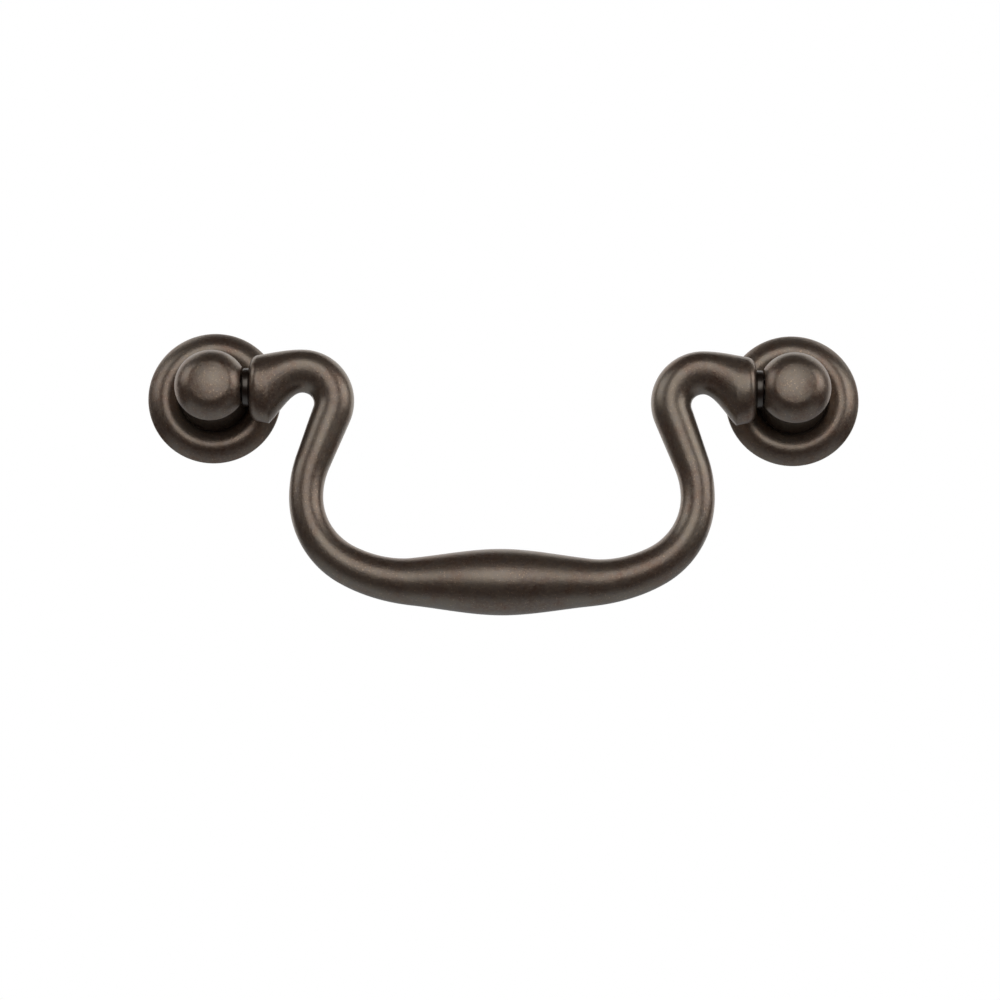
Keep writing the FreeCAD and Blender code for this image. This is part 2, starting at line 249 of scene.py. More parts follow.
# %% Corners with a rounding
def rounded(corners, steps=4):
    """A polyline from corners (first, second, fillet radius), with an arc at each corner that has one."""
    line = [Vector(c[:2]) for c in corners]
    out = []
    for i, here in enumerate(corners):
        fillet = here[2] if len(here) > 2 else 0.0
        if not fillet or i in (0, len(corners) - 1):
            out.append(tuple(line[i]))
            continue
        before = (line[i - 1] - line[i]).normalized()
        after = (line[i + 1] - line[i]).normalized()
        half = before.angle(after) / 2
        centre = line[i] + (before + after).normalized() * (fillet / math.sin(half))
        start = line[i] + before * (fillet / math.tan(half)) - centre
        end = line[i] + after * (fillet / math.tan(half)) - centre
        turn = start.angle(end)
        for k in range(steps + 1):
            share = k / steps
            step = start * math.sin(turn * (1 - share)) + end * math.sin(turn * share)
            out.append(tuple(centre + step / math.sin(turn)))
    return out


example = rounded([(0, 0), (3, 0, 1), (3, 3)])
print("a corner rounded by 1 mm:", [(round(a, 2), round(b, 2)) for a, b in example])


# %% Arcs
def arc(centre_r, centre_h, radius, start, end, steps):
    """Points on an arc, with its angles in degrees from straight up towards the outside."""
    angles = [math.radians(start + (end - start) * k / steps) for k in range(steps + 1)]
    return [(centre_r + radius * math.sin(a), centre_h + radius * math.cos(a)) for a in angles]


def arc_through(first, middle, last, steps):
    """Points on the arc through three points."""
    (ax, ay), (bx, by), (cx, cy) = first, middle, last
    d = 2 * (ax * (by - cy) + bx * (cy - ay) + cx * (ay - by))
    a2, b2, c2 = ax * ax + ay * ay, bx * bx + by * by, cx * cx + cy * cy
    ux = (a2 * (by - cy) + b2 * (cy - ay) + c2 * (ay - by)) / d
    uy = (a2 * (cx - bx) + b2 * (ax - cx) + c2 * (bx - ax)) / d
    radius = math.hypot(ax - ux, ay - uy)
    start = math.atan2(ay - uy, ax - ux)
    turn = math.remainder(math.atan2(cy - uy, cx - ux) - start, math.tau)
    angles = [start + turn * k / steps for k in range(steps + 1)]
    return [(ux + radius * math.cos(a), uy + radius * math.sin(a)) for a in angles]


# %% Outlines into rings
def on_screw(side, outline, marks=None, **more):
    """Rings about a screw from an outline of (radius, height). The side is -1 for left and 1 for right.

    Marks is a function of radius and height: how much black and painted shade, and how worn the finish is
    there.
    """
    rings = []
    for r, h in outline:
        black_and_shade, worn = marks(r, h) if marks else (0.0, 0.0)
        centre = Vector((side * post_x, -h, 0))
        rings.append(ring(centre, X_WAY, Z_WAY, r, black_and_shade=black_and_shade, worn=worn, **more))
    return rings


def on_pivot(side, outline):
    """Rings about the pivot axis from an outline of (x, radius)."""
    return [ring(Vector((side * x, pivot_y, 0)), Y_WAY, -Z_WAY, r) for x, r in outline]


def clamp(value):
    return min(1.0, max(0.0, value))


# %% [markdown]
# The finish is antique bronze: a casting is plated with bronze, blackened in a bath, rubbed back a little
# and lacquered satin. What the eye gets is a dark grey-brown metal that reflects softly, warm in its darks,
# with fine tan flecks where the bronze shows through and a cloudy change of tone over centimetres. It could
# be painted on an image, but procedural patterns fit any piece, and they are measured in millimetres on the
# object.

# %% Colours, and a material that measures in millimetres
def linear(hex_colour):
    """A colour written as sRGB hex, as the linear values that a shader takes."""
    values = [int(hex_colour[i:i + 2], 16) / 255 for i in (1, 3, 5)]
    return tuple(v / 12.92 if v <= 0.04045 else ((v + 0.055) / 1.055) ** 2.4 for v in values) + (1.0,)


def new_metal(name, metallic):
    """A new material, its nodes, its shader's inputs, and the place on the pull in millimetres."""
    metal = bpy.data.materials.new(name)
    metal.use_nodes = True
    tree = metal.node_tree
    shader = tree.nodes["Principled BSDF"].inputs
    shader["Metallic"].default_value = metallic
    place = add_node(tree, "ShaderNodeTexCoord", output="Object")
    place = add_node(tree, "ShaderNodeVectorMath", {0: place, "Scale": 1 / MM}, operation="SCALE")
    return metal, tree, shader, place


# %% Antique bronze: its patterns
# The lacquer takes a little off the metal's mirror, so it is not quite fully metallic.
BRONZE, bronze_tree, bronze, bronze_place = new_metal("antique_bronze", 0.94)


def pattern(size, low, high, detail=3.0):
    """Noise with lumps of about size millimetres, as a share from 0 below low to 1 above high."""
    noise = {"Vector": bronze_place, "Scale": 1 / size, "Detail": detail, "Roughness": 0.6}
    lumps = add_node(bronze_tree, "ShaderNodeTexNoise", noise)
    return add_node(bronze_tree, "ShaderNodeMapRange", {"Value": lumps, "From Min": low, "From Max": high},
                    interpolation_type="SMOOTHSTEP")


def marked(name):
    """A mark that a piece carries from its rings, up to half weaker in patches of about a millimetre."""
    carried_mark = add_node(bronze_tree, "ShaderNodeAttribute", output="Fac", attribute_name=name)
    patches = add_node(bronze_tree, "ShaderNodeMath", {0: pattern(1.2, 0.2, 0.8), 1: 0.5, 2: 0.5},
                       operation="MULTIPLY_ADD")
    return add_node(bronze_tree, "ShaderNodeMath", {0: carried_mark, 1: patches}, operation="MULTIPLY")


# %% Antique bronze: its layers of colour
# Each layer is laid over the one before it: a share, how strong it is, and its colour. The grain and the
# flecks of the real finish are finer than the render can show, so they are drawn as coarse as they need to
# show.
grain = pattern(0.45, 0.3, 0.7, 4.0)
bronze_layers = [
    (pattern(7.0, 0.38, 0.62), 1.0, "#8e8478"),         # clouds where the bath took less
    (pattern(4.5, 0.46, 0.64), 0.55, "#806152"),        # warmer brown patches
    (pattern(1.1, 0.35, 0.65), 0.45, "#85807d"),        # small grey blotches
    (grain, 0.6, "#978a7a"),                            # the grain of the plating
    # The next layer is the bath's black left in hollows, and also painted shade in the grooves and at the
    # post's foot.
    (marked("black_and_shade"), 1.0, "#3c322b"),                 # black that rubbing didn't reach
    (marked("worn"), 1.0, "#a4998c"),                   # rims that were rubbed lighter
    (pattern(0.28, 0.60, 0.72, 2.0), 0.7, "#c4ad95"),   # tan flecks of bare bronze
]
bronze_tone = linear("#7d6c61")
for share, strength, colour in bronze_layers:
    share = add_node(bronze_tree, "ShaderNodeMath", {0: share, 1: strength}, operation="MULTIPLY")
    mixing = {0: share, 6: bronze_tone, 7: linear(colour)}
    bronze_tone = add_node(bronze_tree, "ShaderNodeMix", mixing, output=2, data_type="RGBA")
bronze_tree.links.new(bronze_tone, bronze["Base Color"])
print("antique bronze:", len(bronze_layers), "layers over the base tone")

# %% Antique bronze: its gloss and its skin
# The lumps that tumbling leaves are under a thirtieth of a millimetre high. They only soften the
# reflections.
lump_height = 0.028
bronze_rough = add_node(bronze_tree, "ShaderNodeMapRange", {"Value": grain, "To Min": 0.30, "To Max": 0.38})
bronze_tree.links.new(bronze_rough, bronze["Roughness"])
fine_lumps = pattern(0.28, 0.3, 0.7)
lumps = add_node(bronze_tree, "ShaderNodeMath", {0: fine_lumps, 1: 0.5, 2: pattern(1.6, 0.2, 0.8)},
                 operation="MULTIPLY_ADD")
bump = add_node(bronze_tree, "ShaderNodeBump",
                {"Height": lumps, "Strength": 0.6, "Distance": lump_height * MM})
bronze_tree.links.new(bump, bronze["Normal"])
print("antique bronze:", len(bronze_tree.nodes), "nodes")

# %% [markdown]
# The pivot pins are plain turned steel in a dark grey tone. Between the knob and the head only a dark grey
# band of them shows, smoother and cooler than the bronze, so one fine noise for the tone and the gloss is
# enough.

# %% Turned steel
STEEL, steel_tree, steel, steel_place = new_metal("turned_steel", 1.0)
tool_mark = 0.3                     # millimetres between lumps, as coarse as it needs to show
steel_grain = add_node(steel_tree, "ShaderNodeTexNoise",
                       {"Vector": steel_place, "Scale": 1 / tool_mark, "Detail": 3.0})
steel_mixing = {0: steel_grain, 6: linear("#57524d"), 7: linear("#6a6560")}
steel_tone = add_node(steel_tree, "ShaderNodeMix", steel_mixing, output=2, data_type="RGBA")
steel_tree.links.new(steel_tone, steel["Base Color"])
steel_rough = add_node(steel_tree, "ShaderNodeMapRange",
                       {"Value": steel_grain, "To Min": 0.25, "To Max": 0.35})
steel_tree.links.new(steel_rough, steel["Roughness"])
print("turned steel:", len(steel_tree.nodes), "nodes")

# %% [markdown]
# A rosette is the ring under a post. On the real pull it is turned from a disc: a thin web that the post
# clamps to the drawer, a round crest, a flatter outer flank, and a thin rounded rim. It could be a profile
# curve and a Screw modifier. Here its outline is worked out from the arcs, which must run into each other
# without a kink, because a kink would show as a line in the metal.

# %% Sizes of the rosettes
rosette_height = 2.4
web_thickness = 0.85
crest_roundness = 2.5
flank_roundness = 5.6
shoulder_roundness = 0.6
rim_height = 0.15
ring_width = 2.93                   # from the crest to the edge
foot_radius = 5.7                   # of the post that stands in the ring
groove_width = 0.12                 # between the post's foot and the ring
spigot_radius = 3.9                 # of the post's spigot in the ring's hole
spigot_clearance = 0.1
small_edge = 0.12                   # a cast and tumbled edge is never sharper than this
# How dark the black and painted shade grows towards the rosette's groove
groove_black_and_shade = 0.15
crest_rub = 0.05
crest_rub_width = 0.8

# %% Where the rosette's arcs meet
crest_h = rosette_height - crest_roundness
crest_start = -math.degrees(math.acos((web_thickness - crest_h) / crest_roundness))
crest_r = foot_radius + groove_width - crest_roundness * math.sin(math.radians(crest_start))
edge_r = crest_r + ring_width
shoulder_r = edge_r - shoulder_roundness
# The flank's arc runs on smoothly from the crest's arc and into the shoulder's, so its centre lies where
# two circles about their centres meet.
centres_across = shoulder_r - crest_r
centres_down = crest_h - rim_height
centres_apart = math.hypot(centres_across, centres_down)
to_crest = flank_roundness - crest_roundness
to_shoulder = flank_roundness - shoulder_roundness
flank_along = (to_crest**2 - to_shoulder**2 + centres_apart**2) / (2 * centres_apart)
flank_aside = math.sqrt(to_crest**2 - flank_along**2)
flank_r = crest_r + (flank_along * centres_across - flank_aside * centres_down) / centres_apart
flank_h = crest_h - (flank_along * centres_down + flank_aside * centres_across) / centres_apart
crest_end = math.degrees(math.atan2(crest_r - flank_r, crest_h - flank_h))
flank_end = math.degrees(math.atan2(shoulder_r - flank_r, rim_height - flank_h))
print(f"rosette: {2 * edge_r:.2f} mm across, its crest at a radius of {crest_r:.2f} mm")


# %% Rosettes
def rosette_marks(r, h):
    """Black and painted shade towards the groove, and a light rub on the crest. The back has neither."""
    if h <= rim_height:
        return 0.0, 0.0
    deep = clamp((crest_r - r) / (crest_r - foot_radius))
    top = clamp(1 - abs(r - crest_r) / crest_rub_width)
    return groove_black_and_shade * deep**3, crest_rub * top


def rosette(side, name):
    hole = spigot_radius + spigot_clearance
    outline = rounded([(edge_r, 0.1), (edge_r, 0, small_edge), (hole, 0, small_edge), (hole, web_thickness)])
    outline += arc(crest_r, crest_h, crest_roundness, crest_start, crest_end, 48)
    outline += arc(flank_r, flank_h, flank_roundness, crest_end, flank_end, 14)[1:]
    outline += arc(shoulder_r, rim_height, shoulder_roundness, flank_end, 90, 8)[1:]
    outline.append(outline[0])
    return skinned(name, on_screw(side, outline, rosette_marks), BRONZE, points=160)


# %% [markdown]
# A post is turned too: a spigot, a waisted stem and a domed knob, with a real thread cut up its middle for
# the screw from inside the drawer. The knob looks like a ball from the front, but its front is gently
# crowned, it turns over at a brow, and its side runs down to the widest circle on a larger arc. So it is
# drawn as four arcs and not as a sphere.

# %% Sizes of the knob
knob_radius = 5.95
knob_plane = pivot_height + 1.3     # height of the knob's widest circle
crown_bend = 14.0                   # the front is gently crowned, out to crown_turn degrees
crown_turn = 13.0
brow_bend = 2.4                     # then it turns over into the side
brow_turn = 33.0
rim_bend = 0.7                      # and the side is rounded into the widest circle
rim_turn = 74.0

# %% Sizes of the stem, the spigot and the screw hole
waist_radius = 5.15
waist_rise = 3.6                    # from the rosette's web to the waist
spigot_recess = 0.1                 # the spigot ends this far above the drawer
tapped_radius = 1.65
hole_end_length = 0.6               # the hole's end has no thread
mouth_width = 0.4                   # the hole's mouth is countersunk
mouth_height = 0.35
thread_runout = 0.05
thread_steps = 70
# How dark the black and painted shade is at the stem's foot, and how high up it fades out
foot_black_and_shade = 0.1
foot_black_and_shade_height = 1.2
rim_rub = 0.5
rim_rub_width = 0.35

# %% Sizes of the pivots
pin_radius = 1.7
pin_bore_radius = 1.75
pin_in_head = 4.0
pin_in_post = 3.2
pin_end_gap = 0.25
bore_wall = 1.05                    # metal between the pin's bore and the end of the screw hole
flat_depth = 1.0                    # how far the flat that faces the bail is cut into the knob
flat_radius = 3.4
side_gap = 1.45                     # between that flat and the bail's head
flat_x = post_x - knob_radius + flat_depth
face_x = flat_x - side_gap
print(f"flat at x = {flat_x:.2f} mm, head's face at x = {face_x:.2f} mm")


# %% The knob's outline
def knob_outline():
    """The knob from its widest circle to the middle of its front."""
    crown_a, brow_a, rim_a = (math.radians(turn) for turn in (crown_turn, brow_turn, rim_turn))
    taken = (rim_bend * (1 - math.sin(rim_a)) + brow_bend * (math.sin(brow_a) - math.sin(crown_a))
             + crown_bend * math.sin(crown_a))
    side_bend = (knob_radius - taken) / (math.sin(rim_a) - math.sin(brow_a))
    rim = (knob_radius - rim_bend, knob_plane)
    flank = (rim[0] - (side_bend - rim_bend) * math.sin(rim_a),
             rim[1] - (side_bend - rim_bend) * math.cos(rim_a))
    brow = (flank[0] + (side_bend - brow_bend) * math.sin(brow_a),
            flank[1] + (side_bend - brow_bend) * math.cos(brow_a))
    crown_h = brow[1] - (crown_bend - brow_bend) * math.cos(crown_a)
    outline = arc(*rim, rim_bend, 90, rim_turn, 6)
    outline += arc(*flank, side_bend, rim_turn, brow_turn, 24)[1:]
    outline += arc(*brow, brow_bend, brow_turn, crown_turn, 12)[1:]
    outline += arc(0, crown_h, crown_bend, crown_turn, 0, 16)[1:]
    return outline


print(f"the knob's front is {knob_outline()[-1][1]:.2f} mm above the drawer")


# %% The screw hole and the body
def screw_hole(side):
    """Rings from the hole's closed end down its thread, nearly to its mouth."""
    hole_end = pivot_height - pin_bore_radius - bore_wall
    thread_top = hole_end - hole_end_length
    thread_low = spigot_recess + mouth_height + thread_runout
    closed_end = rounded([(0, hole_end), (tapped_radius, hole_end, 0.2), (tapped_radius, thread_top)])
    rings = on_screw(side, closed_end)
    for k in range(thread_steps + 1):
        h = thread_top - (thread_top - thread_low) * k / thread_steps
        rings += on_screw(side, [(tapped_radius, h)], thread=1.0, depth=h)
    return rings


def post_marks(r, h):
    """Black and painted shade at the stem's foot, and a rub on the knob's widest circle."""
    foot = clamp(1 - (h - web_thickness) / foot_black_and_shade_height) if r > spigot_radius else 0.0
    rim = clamp(1 - abs(h - knob_plane) / rim_rub_width) if r > waist_radius else 0.0
    return foot_black_and_shade * foot, rim_rub * rim


def post_body(side, name):
    # The last corner here only gives the foot's rounding its direction, so it is left out again.
    outline = rounded([(tapped_radius, spigot_recess + mouth_height),
                       (tapped_radius + mouth_width, spigot_recess, 0.05),
                       (spigot_radius, spigot_recess, 0.1), (spigot_radius, web_thickness),
                       (foot_radius, web_thickness, small_edge),
                       (foot_radius - 0.03, web_thickness + 0.4)])[:-1]
    waist = (waist_radius, web_thickness + waist_rise)
    outline += arc_through((foot_radius, web_thickness), waist, (knob_radius, knob_plane), 30)[2:]
    outline += knob_outline()[1:]
    return skinned(name, screw_hole(side) + on_screw(side, outline, post_marks), BRONZE, points=128)


# %% [markdown]
# The flat that faces the bail and the bore for the pin lie across the turning axis, as they do on a real
# post, where a mill and a drill make them after the lathe. Here an exact boolean takes two round cutters
# away, and the new edges are marked as sharp, so that the shading doesn't smear over them.

# %% Posts
cutter_reach = 4.0                  # the first cutter stands out this far past the flat
cutter_overlap = 1.0                # and the second starts this far outside it
sharp_from = math.radians(35)       # an edge that turns more than this is shaded as sharp


def cut_away(thing, cutter):
    """Takes the cutter out of the thing and marks the edges that this leaves as sharp."""
    modifier = thing.modifiers.new("cut", "BOOLEAN")
    modifier.operation = "DIFFERENCE"
    modifier.solver = "EXACT"
    modifier.object = cutter
    name = thing.name
    mesh = plain_mesh(thing, name)
    cutter_mesh = cutter.data
    bpy.data.objects.remove(cutter)
    bpy.data.meshes.remove(cutter_mesh)
    mesh.set_sharp_from_angle(angle=sharp_from)
    return new_object(name, mesh)


def post(side, name):
    body = post_body(side, name)
    bore_end = flat_x + pin_in_post + pin_end_gap
    for first, last, radius in ((flat_x - cutter_reach, flat_x, flat_radius),
                                (flat_x - cutter_overlap, bore_end, pin_bore_radius)):
        outline = [(first, 0), (first, radius), (last, radius), (last, 0)]
        body = cut_away(body, skinned("cutter", on_pivot(side, outline), BRONZE, points=96))
    print(f"{name}: {len(body.data.polygons)} faces after the flat and the bore")
    return body


# %% [markdown]
# A pivot pin is a steel pin with a collar. One end is pressed into the bail's head and the other turns in
# the post, and the collar keeps the two apart: it is the dark band in the narrow gap beside each knob. It
# is turned from one bar, so it is one outline about the pivot axis, with chamfered ends and small rounded
# edges.

# %% Pivot pins
pin_chamfer = 0.3
pin_edge = 0.06
root_edge = 0.02                    # where the pin meets its collar
collar_radius = 3.1
collar_clearance = 0.2              # between the collar and the post's flat
collar_edge = 0.3


def pivot_pin(side, name):
    low, high = face_x - pin_in_head, flat_x + pin_in_post
    collar_end = flat_x - collar_clearance
    outline = rounded([(low, 0), (low, pin_radius - pin_chamfer, pin_edge),
                       (low + pin_chamfer, pin_radius, pin_edge), (face_x, pin_radius, root_edge),
                       (face_x, collar_radius, collar_edge), (collar_end, collar_radius, collar_edge),
                       (collar_end, pin_radius, root_edge), (high - pin_chamfer, pin_radius, pin_edge),
                       (high, pin_radius - pin_chamfer, pin_edge), (high, 0)])
    return skinned(name, on_pivot(side, outline), STEEL, points=48)


# %% [markdown]
# The bail is one casting: a bell-shaped head at each end, a swan neck, a leg that leans out, a corner, and
# a grip that swells in the middle. It could be a bevelled curve, but a curve's handles say nothing about
# the real bends. Its middle line is walked instead, as a bender would feed a bar: so far along, so much of
# a turn, on so large a radius. The left half is the mirror image of the right one, so only the right half
# is walked.

# %% Sizes of the bail's path
crown_inset = 8.6                   # from the head's face to the top of the swan neck
crown_rise = 2.72                   # of the middle line there, above the pivot axis
crown_x = face_x - crown_inset
leg_lean = 20.3
corner_turn = 62.0
bends = (                           # name, radius, or length of a straight run, and turn in degrees
    ("neck", 5.3, 90 + leg_lean),
    ("run", 8.56, 0),
    ("leg", 16.8, -leg_lean),
    ("corner", 13.0, -corner_turn),
    ("ease", 23.4, corner_turn - 90),
)
path_step = 0.4


# %% The bail's path
def bar_walk():
    """The right half of the middle line, from the top of the neck to the middle: (x, z, heading, distance).

    It also gives the distance at which each bend ends.
    """
    x, z, heading, distance = crown_x, crown_rise, 180.0, 0.0
    stations = [(x, z, heading, distance)]
    ends = {"crown": 0.0}
    for name, size, turn in bends:
        length = size * abs(math.radians(turn)) if turn else size
        steps = math.ceil(length / path_step)
        for _ in range(steps):
            if turn:
                chord = 2 * size * math.sin(abs(math.radians(turn)) / steps / 2)
                middle = math.radians(heading + turn / steps / 2)
            else:
                chord = length / steps
                middle = math.radians(heading)
            x += chord * math.cos(middle)
            z += chord * math.sin(middle)
            heading += turn / steps
            distance += length / steps
            stations.append((x, z, heading, distance))
        ends[name] = distance
    half_grip = x
    steps = math.ceil(half_grip / path_step)
    for k in range(1, steps + 1):
        stations.append((half_grip * (1 - k / steps), z, heading, distance + half_grip * k / steps))
    ends["middle"] = distance + half_grip
    return stations, ends


walk, ends = bar_walk()
print(f"from neck to neck the bar is {2 * ends['middle']:.1f} mm long and hangs {-walk[-1][1]:.1f} mm down")


# %% [markdown]
# Along that line the bar is thick at the neck, thin at the leg and thickest in the grip. A caster's pattern
# has no steps, so the thickness follows one smooth curve through a few measured places, and the flare of
# the neck into the head uses the same kind of curve.

# %% Smooth curves
def eased(share, span, start, start_slope, end, end_slope=0.0):
    """A smooth curve over a span, at a share of its length, with the given values and slopes at its ends."""
    t = share
    return ((2 * t**3 - 3 * t**2 + 1) * start + (t**3 - 2 * t**2 + t) * span * start_slope
            + (3 * t**2 - 2 * t**3) * end + (t**3 - t**2) * span * end_slope)


def smooth_value(distance, knots):
    """A smooth curve through the knots (distance, value), level at its first and last knot."""
    slopes = [0.0] + [(c[1] - a[1]) / (c[0] - a[0]) for a, c in zip(knots, knots[2:])] + [0.0]
    i = max(k for k in range(len(knots) - 1) if k == 0 or knots[k][0] <= distance)
    span = knots[i + 1][0] - knots[i][0]
    share = (distance - knots[i][0]) / span
    return eased(share, span, knots[i][1], slopes[i], knots[i + 1][1], slopes[i + 1])


# %% Thickness of the bar
neck_diameter = 7.1
shoulder_reach = 16.0               # from the middle out to where the grip has grown out of the bar
diameters = [
    (ends["crown"], neck_diameter),
    (ends["neck"], 6.5),
    (ends["leg"], 5.6),
    (ends["corner"], 6.5),
    (ends["middle"] - shoulder_reach, 7.5),
    (ends["middle"], 10.85),
]
print("thinnest and thickest:", min(d for _, d in diameters), "and", max(d for _, d in diameters), "mm")

# %% [markdown]
# The head is a bell, 11.7 mm high and 9 mm deep, that is rounded over towards the post. Behind its lip it
# draws in to the neck: the underside leaves at a steep slope and the top at a shallow one. The widest line
# lies a little above the middle, which is what gives the head its highlight near the top.

# %% Sizes of the heads
head_radius = 5.85                  # at the lip
head_drop = 0.2                     # the head's middle lies a little under the pivot axis
head_length = 3.2
head_corner = 1.7
head_taper = math.radians(11.0)
head_depth = 4.5                    # from the middle to the front at the lip
head_lift = 0.95                    # from the head's middle up to its widest line
crown_lift = 0.6                    # and the same at the top of the swan neck
under_slope = math.radians(47.0)    # how steeply the neck's underside leaves the lip
lip_x = face_x - head_length
mouth_rim = 0.2                     # a flat rim round the hole that the pin is pressed into


# %% The head's shape
def head_outline():
    """The head from its face over its rounded corner to the lip: (x, radius, how much is rounded off)."""
    corner_x = face_x - head_corner * (1 - math.sin(head_taper))
    corner_r = head_radius - (corner_x - lip_x) * math.tan(head_taper)
    face_r = corner_r - head_corner * math.cos(head_taper)
    rounding = arc(face_r, face_x - head_corner, head_corner, 0, 90 - math.degrees(head_taper), 20)
    outline = [(x, r) for r, x in rounding]
    steps = 10
    for k in range(1, steps + 1):
        x = corner_x + (lip_x - corner_x) * k / steps
        outline.append((x, head_radius - (x - lip_x) * math.tan(head_taper)))
    return [(x, r, head_radius - (x - lip_x) * math.tan(head_taper) - r) for x, r in outline]


def horn_half_width(x):
    """From the middle of the bar to its front, between the head's face and the top of the swan neck."""
    return eased((face_x - x) / crown_inset, crown_inset, head_depth, 0.0, neck_diameter / 2)


def neck_heights(share):
    """Top and underside of the swan neck, at a share of the way from the head's lip to the neck's top."""
    length = lip_x - crown_x
    crown_r = neck_diameter / 2
    top = eased(share, length, head_radius - head_drop, math.tan(head_taper), crown_rise + crown_r)
    under = eased(share, length, -head_radius - head_drop, math.tan(under_slope), crown_rise - crown_r)
    return top, under


# %% [markdown]
# The whole bail is then one list of rings: down the pin's hole, over the head, along the neck and the bar
# to the middle, and back out on the other side. Each half ring is (x, z of its widest line, heading, reach
# up, reach down, reach to the front). The rings of the neck lie closer together near the lip, where the
# underside turns fastest.

# %% The bail's right half
neck_rings = 40
neck_crowding = 1.3                 # 1 would space them evenly


def half_bail():
    hole_end = face_x - pin_in_head
    hole = rounded([(hole_end, 0), (hole_end, pin_radius, 0.1), (face_x, pin_radius, 0.08),
                    (face_x, pin_radius + mouth_rim)])
    half = [(x, 0.0, 180.0, r, r, r) for x, r in hole]
    for x, r, cut_off in head_outline():
        lift = head_lift * r / head_radius
        half.append((x, lift - head_drop, 180.0, r - lift, r + lift, horn_half_width(x) - cut_off))
    for k in range(1, neck_rings + 1):
        share = (k / neck_rings)**neck_crowding
        x = lip_x + (crown_x - lip_x) * share
        top, under = neck_heights(share)
        widest = (top + under) / 2 + eased(share, 1.0, head_lift, 0.0, crown_lift)
        half.append((x, widest, 180.0, top - widest, widest - under, horn_half_width(x)))
    for x, z, heading, distance in walk[1:]:
        r = smooth_value(distance, diameters) / 2
        lift = eased(clamp(distance / ends["neck"]), 1.0, crown_lift, 0.0, 0.0)
        a = math.radians(heading)
        half.append((x + lift * math.sin(a), z - lift * math.cos(a), heading, r - lift, r + lift, r))
    return half


# %% The whole bail
def bail(name):
    half = half_bail()
    mirrored = [(-x, z, -heading, *reaches) for x, z, heading, *reaches in reversed(half[:-1])]
    rings = []
    for x, z, heading, up, down, front in half + mirrored:
        a = math.radians(heading)
        across = Y_WAY * (front / up) if up else Y_WAY
        along = Vector((-math.sin(a), 0, math.cos(a)))
        rings.append(ring(Vector((x, pivot_y, z)), across, along, up, sag=down - up))
    return skinned(name, rings, BRONZE, points=112)


# %% [markdown]
# Each finished piece takes the place of its CAD node and rides on that node's body. The bail and its two
# pins swing together, because the pins are pressed into it, and the posts and rosettes stay on the drawer.

# %% Every piece in its place
bail_piece = bail("bail_bar")
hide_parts("bail")
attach(bail_piece, "bail")
for side, hand in ((-1, "left"), (1, "right")):
    ring_piece = rosette(side, "turned_rosette_" + hand)
    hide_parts("rosette_" + hand)
    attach(ring_piece, "posts")
    post_piece = post(side, "domed_post_" + hand)
    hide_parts("post_" + hand)
    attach(post_piece, "posts")
    pin_piece = pivot_pin(side, "turned_pin_" + hand)
    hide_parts("pivot_pin_" + hand)
    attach(pin_piece, "bail")

# %% [markdown]
# The pull hangs in the air, as it would on a drawer front that isn't there, so the floor is far below it
# and only gives the other views a pale ground. It has no gloss, because a mirror image of the lamps in it
# would draw the eye away from the pull.

# %% Floor
floor_reach = 6.0
floor_z = -0.90
floor_mesh = bpy.data.meshes.new("floor")
floor_corners = [(x * floor_reach, y * floor_reach, floor_z) for x, y in ((-1, -1), (1, -1), (1, 1), (-1, 1))]
floor_mesh.from_pydata(floor_corners, [], [(0, 1, 2, 3)])
floor = new_object("floor", floor_mesh)
floor_finish = bpy.data.materials.new("pale_floor")
floor_finish.use_nodes = True
floor_shader = floor_finish.node_tree.nodes["Principled BSDF"].inputs
floor_shader["Base Color"].default_value = linear("#ece9e6")
floor_shader["Roughness"].default_value = 0.9
floor_shader["Specular IOR Level"].default_value = 0.0
floor_mesh.materials.append(floor_finish)
print(f"floor {floor_mesh.vertices[1].co.x - floor_mesh.vertices[0].co.x:.0f} m wide, {-floor_z:.1f} m down")

# %% [markdown]
# The backdrop is white to the camera and in reflections, and matt surfaces get half as much light from it.
# A brighter world would give the same white, but it would wash out the metal's colour.

# %% World
white = linear("#ffffff")
world = bpy.data.worlds.new("studio")
bpy.context.scene.world = world
world.use_nodes = True
world_tree = world.node_tree
world_tree.nodes.clear()
looked_at = add_node(world_tree, "ShaderNodeLightPath", output="Is Camera Ray")
for ray in ("Is Glossy Ray", "Is Transmission Ray"):
    also = add_node(world_tree, "ShaderNodeLightPath", output=ray)
    looked_at = add_node(world_tree, "ShaderNodeMath", {0: looked_at, 1: also}, operation="MAXIMUM")
dim_white = add_node(world_tree, "ShaderNodeBackground", {"Strength": 0.5, "Color": white})
full_white = add_node(world_tree, "ShaderNodeBackground", {"Strength": 1.0, "Color": white})
backdrop = add_node(world_tree, "ShaderNodeMixShader", {0: looked_at, 1: dim_white, 2: full_white})
add_node(world_tree, "ShaderNodeOutputWorld", {"Surface": backdrop})
print("world:", len(world_tree.nodes), "nodes")

# %% [markdown]
# A polished thing is lit by what it mirrors, so its lamps are large soft boxes close to it. The one in
# front gives the light patch on each knob and along the bar, and the two at the sides give the softer light
# beside it. A lamp is described by where it stands, seen from the pull, and by how many degrees it covers,
# because that is the size of its reflection.

# %% Angles round the pull
target = Vector((0, pivot_y * MM, -0.016))


def way(azimuth, elevation):
    """The direction to an angle: azimuth 0 is straight in front, and 90 is on the right."""
    a, e = math.radians(azimuth), math.radians(elevation)
    return Vector((math.sin(a) * math.cos(e), -math.cos(a) * math.cos(e), math.sin(e)))


def facing(place, azimuth, elevation, distance, roll=0.0):
    """A matrix that puts a thing at an angle and a distance from a place, with its -Z turned to it."""
    out = way(azimuth, elevation)
    side = Z_WAY.cross(out).normalized()
    turn = Matrix((side, out.cross(side), out)).transposed().to_4x4()
    return Matrix.Translation(place + out * distance) @ turn @ Matrix.Rotation(math.radians(roll), 4, "Z")


# %% Soft boxes
lamp_distance = 0.8


